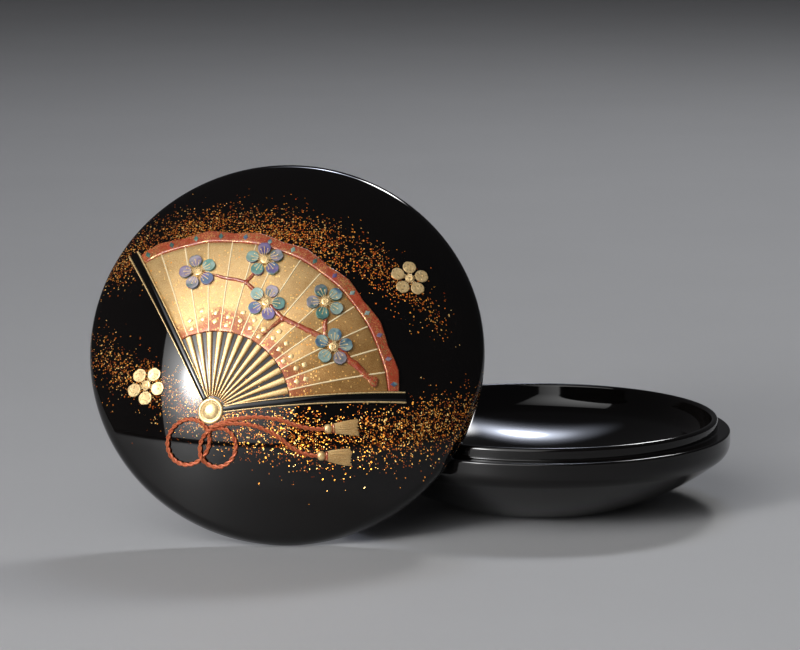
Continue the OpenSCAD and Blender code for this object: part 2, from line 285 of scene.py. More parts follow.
def arc(middle_r, middle_z, radius, first, last, count, side=1):
    """Stretch of a turned profile along an arc: pairs of a point and its normal, side -1 where hollow."""
    stretch = []
    for k in range(count + 1):
        angle = math.radians(mix(first, last, k / count))
        cosine = math.cos(angle)
        sine = math.sin(angle)
        point = (max(middle_r + radius * cosine, 0), middle_z + radius * sine)
        stretch.append((point, (side * cosine, side * sine)))
    return stretch


def lathe(name, stretches, place, materials, body, nodes):
    """Turned piece with its profile's own normals and a material for each stretch of the profile.

    The profile starts and ends on the axis. A point's mark is its place in millimetres on the surface
    rolled out flat.
    """
    build = Build()
    normals = []
    spin = place.to_3x3()
    rings = []
    ring_paints = []
    reach = 0
    before = stretches[0][0][0]
    for paint, stretch in enumerate(stretches):
        for point, (out, up) in stretch:
            reach += math.dist(before, point)
            before = point
            radius, height = point
            count = 1 if radius < ON_AXIS else TURNS
            rings.append([len(build.points) + k for k in range(count)])
            ring_paints.append(paint)
            for k in range(count):
                angle = math.tau * k / TURNS
                cosine = math.cos(angle)
                sine = math.sin(angle)
                build.points.append(place @ Vector((radius * cosine, radius * sine, height)))
                build.marks.append((reach * cosine, reach * sine))
                normals.append(spin @ Vector((out * cosine, out * sine, up)))
    for near, far, paint in zip(rings, rings[1:], ring_paints[1:]):
        for k in range(TURNS):
            j = (k + 1) % TURNS
            corners = [near[k % len(near)], far[k % len(far)], far[j % len(far)], near[j % len(near)]]
            build.faces.append(list(dict.fromkeys(corners)))
            build.paints.append(paint)
    build.piece(name, materials, body, nodes, normals)


def round_over(distance, edge):
    """Share of the full height at a distance from an edge that is rounded over that width."""
    if distance >= edge:
        return 1
    return math.sqrt(max(1 - (1 - distance / edge) ** 2, 0))


def steps(length, count, edge):
    """Distances along a length, close together at its rounded ends."""
    start = [edge * (1 - math.cos(math.radians(angle))) for angle in EDGE_ROWS]
    middle = [mix(edge, length - edge, k / count) for k in range(count + 1)]
    return start + middle + [length - distance for distance in reversed(start)]


def plate(build, place, top, across, along, edge, foot=SUNK, paint=0):
    """Closed raised patch with rounded edges.

    place(s, t) and top(s, t) give its outline and its height at shares of its width and length.
    """
    width = across[-1]
    length = along[-1]
    marks = [(u / width, v / length) for v in along for u in across]
    upper = []
    lower = []
    for v in along:
        for u in across:
            x, y = place(u / width, v / length)
            share = round_over(min(u, width - u), edge) * round_over(min(v, length - v), edge)
            upper.append(on_crown(x, y, mix(foot, top(u / width, v / length), share)))
            lower.append(on_crown(x, y, foot - BED))
    columns = len(across)
    rows = len(along)
    count = rows * columns
    faces = []
    for i in range(rows - 1):
        for j in range(columns - 1):
            k = i * columns + j
            face = [k, k + 1, k + columns + 1, k + columns]
            faces.append(face)
            faces.append([count + corner for corner in reversed(face)])
    rim = list(range(columns)) + [i * columns + columns - 1 for i in range(1, rows)]
    rim += [count - 1 - j for j in range(1, columns)] + [i * columns for i in range(rows - 2, 0, -1)]
    for here, there in zip(rim, rim[1:] + rim[:1]):
        faces.append([there, here, count + here, count + there])
    build.add(upper + lower, faces, marks * 2, paint)


def disc(place, x, y, radius):
    """Round outline for a boss about a point of a flat place."""
    def outline(share, degrees):
        aside, ahead = turned(radius * share, 0, degrees)
        return place(x + aside, y + ahead)
    return outline


def dome(top, rises):
    """Profile of a boss from a section and the height of its top."""
    return [(share, top + rise) for share, rise in rises]


def boss(build, place, profile, sides):
    """Closed round patch from rings of (share of the outline, rise), from the rim to the middle."""
    points = []
    marks = []
    for share, rise in profile[:-1]:
        for k in range(sides):
            points.append(on_crown(*place(share, 360 * k / sides), rise))
            marks.append((k / sides, share))
    points.append(on_crown(*place(0, 0), profile[-1][1]))
    marks.append((0, 0))
    faces = [list(reversed(range(sides)))]
    for ring in range(len(profile) - 2):
        for k in range(sides):
            j = (k + 1) % sides
            low = ring * sides
            faces.append([low + k, low + j, low + sides + j, low + sides + k])
    last = (len(profile) - 2) * sides
    for k in range(sides):
        faces.append([last + k, last + (k + 1) % sides, len(points) - 1])
    build.add(points, faces, marks)


def beside(path, k, closed):
    """The points before and after a point of a path."""
    before = path[k - 1] if closed or k else path[0]
    after = path[(k + 1) % len(path)] if closed or k + 1 < len(path) else path[k]
    return before, after


def tube(build, path, radii, sides, closed=False):
    """Round tube along (x, y, rise) places over the crown."""
    spine = [on_crown(*place) for place in path]
    count = len(spine)
    points = []
    for k, middle in enumerate(spine):
        before, after = beside(spine, k, closed)
        ahead = (after - before).normalized()
        side = ahead.cross(middle - CROWN_MIDDLE).normalized()
        up = side.cross(ahead)
        for j in range(sides):
            angle = math.tau * j / sides
            points.append(middle + (side * math.cos(angle) + up * math.sin(angle)) * radii[k])
    faces = []
    for k in range(count if closed else count - 1):
        low = k * sides
        high = (k + 1) % count * sides
        for j in range(sides):
            i = (j + 1) % sides
            faces.append([low + j, low + i, high + i, high + j])
    if not closed:
        faces.append(list(reversed(range(sides))))
        faces.append([(count - 1) * sides + j for j in range(sides)])
    build.add(points, faces)


# Materials

# Values that cloudy noise mostly lies between
CLOUD = (0.3, 0.7)


class Nodes:
    """Nodes of a material or a lamp, added and linked by short calls."""

    def __init__(self, tree):
        self.tree = tree

    def node(self, kind, **settings):
        made = self.tree.nodes.new("ShaderNode" + kind)
        for name, value in settings.items():
            setattr(made, name, value)
        return made

    def put(self, value, socket):
        """Links a socket to another one, or sets its value."""
        if isinstance(value, bpy.types.NodeSocket):
            self.tree.links.new(value, socket)
        else:
            socket.default_value = value

    def math(self, operation, *values, kind="Math", result="Value"):
        made = self.node(kind, operation=operation)
        for value, socket in zip(values, made.inputs):
            self.put(value, socket)
        return made.outputs[result]

    def vector(self, operation, *values):
        return self.math(operation, *values, kind="VectorMath", result="Vector")

    def span(self, value, low, high, first=0.0, last=1.0, curve="LINEAR"):
        """Maps a value from low to high onto first to last, and holds it there."""
        made = self.node("MapRange", interpolation_type=curve)
        sockets = ("Value", "From Min", "From Max", "To Min", "To Max")
        for socket, entry in zip(sockets, (value, low, high, first, last)):
            self.put(entry, made.inputs[socket])
        return made.outputs["Result"]


class Graph(Nodes):
    """A material. Its place is in millimetres, in the lid's own axes or in the axes of the part."""

    def __init__(self, name, on_lid=True):
        self.material = bpy.data.materials.new(name)
        self.material.use_nodes = True
        super().__init__(self.material.node_tree)
        self.shader = self.tree.nodes["Principled BSDF"]
        mapping = self.node("Mapping", vector_type="TEXTURE")
        mapping.inputs["Scale"].default_value = (MM, MM, MM)
        if on_lid:
            mapping.inputs["Location"].default_value = LID_MIDDLE * MM
            mapping.inputs["Rotation"].default_value = (LID_TILT, 0, 0)
        self.put(self.node("TexCoord").outputs["Object"], mapping.inputs["Vector"])
        self.place = mapping.outputs["Vector"]

    def set(self, **values):
        """Sets the shader's sockets, with a low line for each space in their names."""
        for name, value in values.items():
            self.put(value, self.shader.inputs[name.replace("_", " ")])

    def noise(self, grain, detail=2, place=None, kind="Fac"):
        """Cloudy noise with grains of about that many millimetres."""
        made = self.node("TexNoise")
        self.put(place or self.place, made.inputs["Vector"])
        made.inputs["Scale"].default_value = 1 / grain
        made.inputs["Detail"].default_value = detail
        return made.outputs[kind]

    def ramp(self, value, *stops):
        """Colour ramp of (position, colour) stops."""
        made = self.node("ValToRGB")
        band = made.color_ramp.elements
        while len(band) < len(stops):
            band.new(0.5)
        for element, (position, colour) in zip(band, stops):
            element.position = position
            element.color = (*colour, 1)
        self.put(value, made.inputs["Fac"])
        return made.outputs["Color"]

    def blend(self, share, first, last):
        """Mixes two colours."""
        made = self.node("Mix", data_type="RGBA")
        self.put(share, made.inputs["Factor"])
        self.put(first if isinstance(first, bpy.types.NodeSocket) else (*first, 1), made.inputs["A"])
        self.put(last if isinstance(last, bpy.types.NodeSocket) else (*last, 1), made.inputs["B"])
        return made.outputs["Result"]

    def bump(self, height, depth, strength=1.0):
        """Bump of a depth in millimetres."""
        made = self.node("Bump")
        made.inputs["Strength"].default_value = strength
        made.inputs["Distance"].default_value = depth * MM
        self.put(height, made.inputs["Height"])
        return made.outputs["Normal"]

    def rough(self, grain, detail, low, high):
        """Roughness that drifts from low to high in clouds of about that many millimetres."""
        self.set(Roughness=self.span(self.noise(grain, detail), *CLOUD, low, high))

    def patch(self):
        """Place within the piece's own patch: across and along."""
        split = self.node("SeparateXYZ")
        self.put(self.node("UVMap", uv_map="patch").outputs["UV"], split.inputs["Vector"])
        return split.outputs["X"], split.outputs["Y"]


JET = (0.0012, 0.0011, 0.0012)
JET_WARM = (0.0032, 0.0025, 0.0022)
GOLD_DARK = (0.22, 0.085, 0.018)
GOLD_DEEP = (0.4, 0.19, 0.05)
GOLD = (0.63, 0.39, 0.14)
GOLD_PALE = (0.86, 0.68, 0.38)
CREAM = (0.93, 0.82, 0.56)
RED_DEEP = (0.16, 0.02, 0.011)
RED = (0.35, 0.052, 0.02)
RED_GOLD = (0.55, 0.24, 0.08)
EMBER = (0.16, 0.018, 0.004)
FLAME = (0.5, 0.12, 0.014)
AMBER = (0.85, 0.36, 0.05)
SPARK = (1, 0.72, 0.27)
SHELL_DARK = (0.03, 0.09, 0.085)
SHELL_GREEN = (0.075, 0.2, 0.165)
SHELL_SILVER = (0.28, 0.36, 0.31)
SHELL_BLUE = (0.05, 0.12, 0.18)
SHELL_VIOLET = (0.11, 0.075, 0.2)
SHELL_ROSE = (0.3, 0.25, 0.28)
WOOD = (0.42, 0.27, 0.14)
WOOD_PALE = (0.62, 0.45, 0.27)
TABLE = (0.31, 0.31, 0.315)
TABLE_PALE = (0.34, 0.34, 0.345)
ROOM = (0.045, 0.045, 0.048)
WHITE = (1, 1, 1)
COOL_WHITE = (0.78, 0.84, 1)

LACQUER_IOR = 1.46
# Bands of gold dust on the lid: middle, height there, bend, width, left and right end; and their fade
MIST_BANDS = ((-12, 21.8, -0.0098, 4.2, -42, 25), (8, -20.2, 0.0095, 4.3, -36, 42))
MIST_FADE = 9
# Sizes of the dust: spacing, share of the grains kept, smallest and largest radius as shares of the spacing
DUST_SIZES = ((0.7, 0.4, 0.15, 0.3), (0.45, 0.62, 0.18, 0.38), (0.3, 0.4, 0.2, 0.42))
DUST_TILT = 0.9
# How coarsely and how far the outline of a grain strays, as shares of the spacing
RAGGED_GRAIN = 1 / 1.5
RAGGED_REACH = 0.8
POWDER_GRAIN = 0.16


def lacquer_coat(graph, roughness):
    """Clear top layer, with the faint unevenness of brushed and rubbed lacquer."""
    graph.set(Specular_IOR_Level=0, Coat_Weight=1, Coat_Roughness=roughness, Coat_IOR=LACQUER_IOR)
    graph.set(Coat_Normal=graph.bump(graph.noise(7, 1), 0.012, 0.5))


def jet(graph):
    """Black with faint warm clouds."""
    return graph.blend(graph.noise(18, 3), JET, JET_WARM)


def black_lacquer(name, on_lid, roughness):
    graph = Graph(name, on_lid)
    graph.set(Base_Color=jet(graph))
    graph.rough(5, 4, 0.1, 0.2)
    lacquer_coat(graph, roughness)
    return graph.material


def mist(graph, across, up, middle_x, height, bend, width, left, right):
    """Density of a band of dust along a bent line over the lid, fading out at its ends."""
    shift = graph.math("SUBTRACT", across, middle_x)
    line = graph.math("MULTIPLY_ADD", graph.math("MULTIPLY", shift, shift), bend, height)
    away = graph.math("DIVIDE", graph.math("SUBTRACT", up, line), width)
    core = graph.math("POWER", math.e, graph.math("MULTIPLY", graph.math("MULTIPLY", away, away), -1.0))
    start = graph.span(across, left - MIST_FADE, left + MIST_FADE, curve="SMOOTHSTEP")
    end = graph.span(across, right - MIST_FADE, right + MIST_FADE, 1.0, 0.0, curve="SMOOTHSTEP")
    return graph.math("MULTIPLY", core, graph.math("MULTIPLY", start, end))


def grains(graph, place, size, density, small, large):
    """Ragged grains spread at that spacing: where they are, and a random tilt and tint for each."""
    stray = graph.noise(size * RAGGED_GRAIN, 1, place, "Color")
    ragged = graph.vector("MULTIPLY_ADD", stray, (size * RAGGED_REACH,) * 3, place)
    cells = graph.node("TexVoronoi", voronoi_dimensions="2D")
    graph.put(ragged, cells.inputs["Vector"])
    cells.inputs["Scale"].default_value = 1 / size
    dice = graph.node("SeparateColor")
    graph.put(cells.outputs["Color"], dice.inputs["Color"])
    kept = graph.math("LESS_THAN", dice.outputs["Red"], density)
    reach = graph.span(dice.outputs["Green"], 0, 1, small, large)
    inside = graph.math("LESS_THAN", cells.outputs["Distance"], reach)
    return graph.math("MULTIPLY", kept, inside), cells.outputs["Color"], dice.outputs["Blue"]


def dusted_lacquer():
    """Black lacquer with bands of gold dust in it, each grain with its own size, tint and tilt."""
    graph = Graph("dusted_lacquer")
    split = graph.node("SeparateXYZ")
    graph.put(graph.place, split.inputs["Vector"])
    across = split.outputs["X"]
    up = split.outputs["Y"]
    upper, lower = [mist(graph, across, up, *band) for band in MIST_BANDS]
    cloud = graph.span(graph.noise(9, 3), 0.35, 0.65, 0.45, 1.25)
    density = graph.math("MULTIPLY", graph.math("MAXIMUM", upper, lower), cloud)
    colour = jet(graph)
    cover = 0.0
    tilt = (0.5, 0.5, 0.5)
    flat = graph.node("UVMap", uv_map="patch").outputs["UV"]
    for size, share, small, large in DUST_SIZES:
        here = graph.math("MULTIPLY", density, share)
        grain, random_tilt, random_tint = grains(graph, flat, size, here, small, large)
        tint = graph.ramp(random_tint, (0, EMBER), (0.45, FLAME), (0.8, AMBER), (1, SPARK))
        colour = graph.blend(grain, colour, tint)
        cover = graph.math("MAXIMUM", cover, grain)
        tilt = graph.blend(grain, tilt, random_tilt)
    lean = graph.vector("MULTIPLY_ADD", tilt, (DUST_TILT,) * 3, (-DUST_TILT / 2,) * 3)
    tipped = graph.vector("ADD", lean, graph.node("NewGeometry").outputs["Normal"])
    graph.set(Base_Color=colour, Metallic=graph.math("MULTIPLY", cover, 0.6))
    graph.set(Roughness=graph.span(cover, 0, 1, 0.15, 0.4), Normal=graph.vector("NORMALIZE", tipped))
    lacquer_coat(graph, 0.03)
    return graph.material


def powder(graph, low, high, metallic=0.6):
    """Metal powder bedded in lacquer: grains of two tints, with a fine tooth."""
    speckle = graph.noise(POWDER_GRAIN, 3)
    graph.set(Base_Color=graph.blend(graph.span(speckle, 0.35, 0.65), low, high), Metallic=metallic)
    graph.rough(1.6, 3, 0.3, 0.46)
    graph.set(Normal=graph.bump(speckle, 0.03, 0.5))


def gold_powder(name):
    graph = Graph(name)
    tone = graph.noise(4, 3)
    powder(graph, graph.blend(tone, GOLD_DEEP, GOLD), graph.blend(tone, GOLD, GOLD_PALE))
    graph.set(Coat_Weight=0.25, Coat_Roughness=0.12)
    return graph.material


def leaf_gold():
    """Gold of the fan's leaf with bright flakes, thin over red near the ribs, and with painted light and
    shade: paler towards its upper left end and deeper towards its low right end.
    """
    graph = Graph("leaf_gold")
    across, along = graph.patch()
    uneven = graph.math("SUBTRACT", graph.noise(5, 3), 0.5)
    thin = graph.span(graph.math("MULTIPLY_ADD", uneven, 0.5, along), 0, 0.42, curve="SMOOTHSTEP")
    shown = graph.span(graph.math("SUBTRACT", thin, graph.noise(0.2, 3)), -0.5, 0.15, curve="SMOOTHSTEP")
    # Painted light and shade: the gold is paler towards the leaf's upper left end, where the lamp falls, and
    # deeper towards its low right end.
    painted_light_share = graph.span(graph.math("MULTIPLY_ADD", uneven, 0.5, across), 0.05, 0.7, curve="SMOOTHSTEP")
    dark = graph.blend(shown, RED_DEEP, graph.blend(painted_light_share, GOLD_DARK, GOLD_DEEP))
    light = graph.blend(shown, RED, graph.blend(painted_light_share, GOLD_DEEP, GOLD))
    glint = graph.blend(shown, RED_GOLD, graph.blend(painted_light_share, GOLD, GOLD_PALE))
    tone = graph.blend(graph.noise(3, 3), dark, light)
    flakes = graph.span(along, 0, 1, 0.5, 0.12)
    flake, _, random_tint = grains(graph, graph.place, 0.55, flakes, 0.12, 0.34)
    bright = graph.blend(random_tint, AMBER, SPARK)
    low = graph.blend(flake, tone, bright)
    high = graph.blend(flake, graph.blend(0.5, tone, glint), bright)
    powder(graph, low, high, graph.span(shown, 0, 1, 0.3, 0.66))
    graph.set(Coat_Weight=0.25, Coat_Roughness=0.12)
    return graph.material


def thread_gold():
    """Pale gold of the fine raised lines."""
    graph = Graph("thread_gold")
    powder(graph, GOLD_PALE, CREAM, metallic=0.35)
    return graph.material


def red_lacquer(name):
    """Red-brown lacquer dusted with gold."""
    graph = Graph(name)
    speckle = graph.noise(0.22, 3)
    dust = graph.span(graph.math("MULTIPLY_ADD", graph.noise(2.4, 3), 0.5, speckle), 0.78, 0.92)
    body = graph.blend(graph.noise(3, 3), RED_DEEP, RED)
    graph.set(Base_Color=graph.blend(dust, body, GOLD), Metallic=graph.math("MULTIPLY", dust, 0.85))
    graph.rough(1.5, 3, 0.2, 0.36)
    graph.set(Normal=graph.bump(speckle, 0.02, 0.4), Coat_Weight=0.4, Coat_Roughness=0.08)
    return graph.material


def cut_gold(name):
    """Gold sheet, burnished, with faint rubbing marks."""
    graph = Graph(name)
    graph.set(Base_Color=graph.blend(graph.noise(0.7, 3), GOLD, GOLD_PALE), Metallic=0.5)
    graph.rough(0.5, 4, 0.22, 0.38)
    graph.set(Normal=graph.bump(graph.noise(0.4, 2), 0.01, 0.25))
    return graph.material


def shell(name):
    """Shell inlay: each chip from another place, its colour drifting over green, silver, blue and violet."""
    graph = Graph(name)
    cut = graph.node("NewGeometry").outputs["Random Per Island"]
    layers = graph.noise(0.7, 2, place=graph.noise(2.4, 2, kind="Color"))
    drift = graph.math("FRACT", graph.math("MULTIPLY_ADD", layers, 0.9, graph.math("MULTIPLY", cut, 3.7)))
    colour = graph.ramp(drift, (0, SHELL_DARK), (0.2, SHELL_GREEN), (0.4, SHELL_SILVER), (0.55, SHELL_BLUE),
                        (0.72, SHELL_VIOLET), (0.86, SHELL_ROSE), (1, SHELL_DARK))
    graph.set(Base_Color=colour, Metallic=0.35, Roughness=0.34, Coat_Weight=0.5, Coat_Roughness=0.06)
    graph.set(Normal=graph.bump(layers, 0.03, 0.6))
    return graph.material


def cord_red():
    """Red cord with a gold thread."""
    graph = Graph("cord_red")
    fibre = graph.noise(0.12, 3)
    graph.set(Base_Color=graph.blend(graph.span(fibre, 0.45, 0.75), RED, RED_GOLD), Metallic=0.35)
    graph.set(Roughness=graph.span(fibre, *CLOUD, 0.3, 0.5), Normal=graph.bump(fibre, 0.02, 0.5))
    return graph.material


def turned_wood(on_lid):
    """Pale close-grained wood under the lacquer."""
    graph = Graph("turned_wood_lid" if on_lid else "turned_wood_base", on_lid)
    rings = graph.node("TexWave", wave_type="BANDS", bands_direction="X")
    graph.put(graph.place, rings.inputs["Vector"])
    rings.inputs["Scale"].default_value = 0.12
    rings.inputs["Distortion"].default_value = 4
    graph.set(Base_Color=graph.blend(rings.outputs["Fac"], WOOD, WOOD_PALE))
    graph.rough(1.2, 4, 0.5, 0.68)
    return graph.material


# Lacquered halves

def base_profile():
    """Half outline of the base, from the middle of its bowl round to the middle of its foot."""
    foot_mid_r = math.sqrt((CROWN_R - FOOT_ROUND) ** 2 - (BASE_SPHERE_Z - FOOT_ROUND) ** 2)
    foot_angle = math.degrees(math.asin(foot_mid_r / (CROWN_R - FOOT_ROUND))) - 90
    root = LIP_ROOT_ROUND
    bowl_angle = math.degrees(math.asin(BOWL_EDGE_MID_R / BOWL_REACH)) - 90
    return (arc(0, BOWL_MID_Z, BOWL_R, -90, bowl_angle, 24, -1)
            + arc(BOWL_EDGE_MID_R, BOWL_EDGE_Z, BOWL_EDGE_R, bowl_angle, -WALL_LEAN, 20, -1)[1:]
            + arc(LIP_MID_R, LIP_MID_Z, LIP_ROUND, 180 - WALL_LEAN, 0, 16)
            + arc(LIP_R + root, BASE_H + root, root, -180, -90, 5, -1)
            + arc(BOX_R - MEET_ROUND, BASE_H - MEET_ROUND, MEET_ROUND, 90, 0, 6)
            + arc(EDGE_MID_R, BASE_H - BASE_BAND, EDGE_R, 0, -EDGE_ANGLE, 12)
            + arc(0, BASE_SPHERE_Z, CROWN_R, -EDGE_ANGLE, foot_angle, 16)[1:]
            + arc(foot_mid_r, FOOT_ROUND, FOOT_ROUND, foot_angle, -90, 4)[1:]
            + [((0, 0), (0, -1))])


def lid_profile():
    """Half outline of the lid: from its top down the wall, and from the rim to the middle of its hollow."""
    inner_r = CROWN_R - LID_T
    corner = BORE_ROUND
    ledge_h = BORE_H + LEDGE_ROUND
    ledge_mid_r = math.sqrt((inner_r + LEDGE_ROUND) ** 2 - (ledge_h - SPHERE_H) ** 2)
    ledge_angle = math.degrees(math.acos(ledge_mid_r / (inner_r + LEDGE_ROUND)))
    outside = (arc(0, SPHERE_H, CROWN_R, 90, EDGE_ANGLE, 44)
               + arc(EDGE_MID_R, LID_BAND, EDGE_R, EDGE_ANGLE, 0, 12)[1:])
    inside = (arc(BOX_R - MEET_ROUND, MEET_ROUND, MEET_ROUND, 0, -90, 6)
              + arc(BORE_R + corner, corner, corner, -90, -180, 5)
              + arc(BORE_R - corner, BORE_H - corner, corner, 0, 90, 5, -1)
              + arc(ledge_mid_r, ledge_h, LEDGE_ROUND, -90, ledge_angle - 180, 5)
              + arc(0, SPHERE_H, inner_r, ledge_angle, 90, 28, -1)[1:])
    return outside, inside


def make_halves():
    """The lacquer of both halves, and wood on their hidden cores."""
    base_black = black_lacquer("base_black", False, 0.06)
    lid_black = black_lacquer("lid_black", True, 0.04)
    lathe("base_lacquer", [base_profile()], Matrix.Identity(4), [base_black], "base",
          ("base_outer_coat", "base_inner_coat", "base_foot_coat"))
    lathe("lid_lacquer", lid_profile(), LID_PLACE, [dusted_lacquer(), lid_black], "lid",
          ("lid_outer_coat", "lid_inner_coat", "lid_rim_coat"))
    for node, on_lid in (("base_core", False), ("lid_core", True)):
        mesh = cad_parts[node].data
        mesh.materials.clear()
        mesh.materials.append(turned_wood(on_lid))


# Folding fan

def guard_half(radius):
    """Half the width of a guard stick at a distance from the rivet."""
    return mix(GUARD_ROOT_W, GUARD_W, (radius - ROOT_R) / (FAN_R + GUARD_PAST - ROOT_R)) / 2


def fold_angle(fold, radius):
    """Angle of a fold of the leaf; the outermost ones run along the guard sticks."""
    limit = FAN_SPREAD / 2 - math.degrees(math.asin((guard_half(radius) + BED) / radius))
    return max(-limit, min(limit, fold * PANEL_TURN - FAN_SPREAD / 2))


def pleat(fold):
    """Height of the pleats at a place counted in folds, ridge and valley in turn."""
    return PLEAT * (abs((fold + 1) % 2 - 1) - 0.5)


def leaf_place(share, radius):
    """Place on the leaf at a share of its width."""
    fold = share * PANELS
    panel = min(int(fold), PANELS - 1)
    return fan_place(radius, mix(fold_angle(panel, radius), fold_angle(panel + 1, radius), fold - panel))


def pleated(build, inner, outer, top, rows, edge, scallop=0):
    """A stretch of the pleated leaf between two radii."""
    width = math.radians(FAN_SPREAD) * outer
    folds = [width * k / PANELS / PLEAT_ROWS for k in range(1, PANELS * PLEAT_ROWS)]
    across = [0, edge / 4] + folds + [width - edge / 4, width]
    along = steps(outer - inner, rows, edge)

    def place(s, t):
        return leaf_place(s, mix(inner, outer + scallop * pleat(s * PANELS), t))

    plate(build, place, lambda s, t: top + pleat(s * PANELS), across, along, edge)


def make_leaf():
    leaf = Build()
    pleated(leaf, LEAF_IN_R, BORDER_IN_R - BED, LEAF_TOP, 26, 0.15)
    leaf.piece("fan_leaf_gold", [leaf_gold()], "lid", ["fan_leaf"])
    border = Build()
    pleated(border, BORDER_IN_R, FAN_R, TRIM_TOP, 6, 0.3, scallop=2.5)
    border.piece("fan_border_red", [red_lacquer("border_red")], "lid", ["fan_border"])


def make_fold_lines(material):
    lines = Build()
    edge = FOLD_W / 2.5
    across = steps(FOLD_W, 2, edge)
    along = steps(BORDER_IN_R - BED - LEAF_IN_R, 16, 0.1)
    for fold in range(1, PANELS):
        def place(s, t):
            radius = mix(LEAF_IN_R, BORDER_IN_R - BED, t)
            aside = math.degrees((s - 0.5) * FOLD_W / radius)
            return fan_place(radius, fold_angle(fold, radius) + aside)

        rise = LEAF_TOP + pleat(fold) + THREAD_T
        plate(lines, place, lambda s, t: rise, across, along, edge)
    lines.piece("fan_fold_threads", [material], "lid", ["fan_fold_lines"])


def make_ribs(material):
    ribs = Build()
    half_turn = PANEL_TURN * (1 - RIB_OPEN) / 2
    first = RIVET_R + RIB_GAP
    last = LEAF_IN_R - BED
    for fold in range(1, PANELS):
        middle = fold * PANEL_TURN - FAN_SPREAD / 2

        def place(s, t):
            return fan_place(mix(first, last, t), middle + half_turn * (2 * s - 1))

        def top(s, t):
            return TRIM_TOP - 0.1 * (2 * s - 1) ** 2

        plate(ribs, place, top, steps(1, 4, 0.22), steps(last - first, 14, 0.15), 0.2)
    ribs.piece("fan_rib_sticks", [material], "lid", ["fan_ribs"])


def make_guards(gold):
    """Black guard sticks with a gold line along each edge."""
    guards = Build()
    along = steps(FAN_R + GUARD_PAST - ROOT_R, 30, 0.2)
    for side in (-1, 1):
        for low, high, paint, swell in GUARD_STRIPES:
            def place(s, t):
                radius = mix(ROOT_R, FAN_R + GUARD_PAST, t)
                aside = (2 * mix(low, high, s) - 1) * guard_half(radius)
                return from_rivet(*turned(radius, aside, FAN_TURN + side * FAN_SPREAD / 2))

            plate(guards, place, lambda s, t: TRIM_TOP + swell * math.sin(math.pi * s),
                  steps(GUARD_W * (high - low), 4, 0.1), along, 0.1, paint=paint)
    black = black_lacquer("guard_black", True, 0.06)
    guards.piece("fan_guards", [black, gold], "lid", ["fan_guard_sticks"])


def make_rivet(material):
    rivet = Build()
    top = BED + RIVET_T
    profile = [(1, SUNK)] + [(share, rise * top) for share, rise in RIVET_DOME]
    boss(rivet, disc(from_rivet, 0, 0, RIVET_R), profile, 64)
    rivet.piece("fan_rivet_cap", [material], "lid", ["fan_rivet"])


# Cord and tassels

def arc_path(middle_x, middle_y, radius, first, last, step):
    """Places along an arc, given from the rivet."""
    count = max(2, round(abs(math.radians(last - first)) * radius / step))
    path = []
    for k in range(count + 1):
        x, y = turned(radius, 0, mix(first, last, k / count))
        path.append((middle_x + x, middle_y + y))
    return path


def tail_end(tail):
    """Middle of a cord tail's second arc and the angle at which that arc ends."""
    x, y, radius, first, last, bend, turn = tail
    over_x, over_y = turned(radius + bend, 0, last)
    return x + over_x, y + over_y, last + 180 + turn


STRAND_R = 0.24
STRAND_OFF = 0.2
LAY = 2.4
CORD_STEP = 0.2
CORD_SINK = 0.1
# Lift of a cord over a loop that it crosses, and the width of that rise
CROSS_LIFT = 0.45
CROSS_W = 1.6
# Tassels, along from the end of the cord: bound head, band round its neck, loose threads
HEAD_R = 0.85
HEAD_AT = 0.75
BAND_AT = 1.5
BAND_L = 0.6
BAND_W = 1.7
THREADS = 13
THREADS_AT = 1.9
THREAD_POINTS = 13
THREAD_R = 0.17
THREAD_END_R = 0.1


def twisted(build, path, lift, closed=False):
    """Two strands laid round each other along flat places given from the rivet."""
    count = len(path)
    turns = max(1, round(count * CORD_STEP / LAY))
    for start in (0, math.pi):
        strand = []
        for k, (x, y) in enumerate(path):
            before, after = beside(path, k, closed)
            ahead = Vector(after) - Vector(before)
            side = Vector((-ahead.y, ahead.x)).normalized()
            phase = start + math.tau * turns * k / count
            aside = STRAND_OFF * math.cos(phase)
            rise = STRAND_R + STRAND_OFF + STRAND_OFF * math.sin(phase) / 2 - CORD_SINK + lift(x, y)
            strand.append((*from_rivet(x + side.x * aside, y + side.y * aside), rise))
        tube(build, strand, [STRAND_R] * count, 8, closed)


def make_cord():
    cord = Build()

    def over(ring):
        """Lift where a cord crosses over a loop."""
        def lift(x, y):
            gap = abs(math.hypot(x - ring[0], y - ring[1]) - ring[2])
            near = max(0, 1 - gap / CROSS_W)
            return CROSS_LIFT * near ** 2 * (3 - 2 * near)
        return lift

    first, second = CORD_LOOPS
    twisted(cord, arc_path(*first, 0, 360, CORD_STEP)[:-1], lambda x, y: 0, closed=True)
    twisted(cord, arc_path(*second, 0, 360, CORD_STEP)[:-1], over(first), closed=True)
    for tail in CORD_TAILS:
        x, y, radius, start, last, bend, turn = tail
        mid_x, mid_y, end = tail_end(tail)
        path = arc_path(x, y, radius, start, last, CORD_STEP)
        path += arc_path(mid_x, mid_y, bend, last + 180, end, CORD_STEP)[1:]
        twisted(cord, path, over(second))
    cord.piece("fan_cord_twist", [cord_red()], "lid", ["fan_cord"])


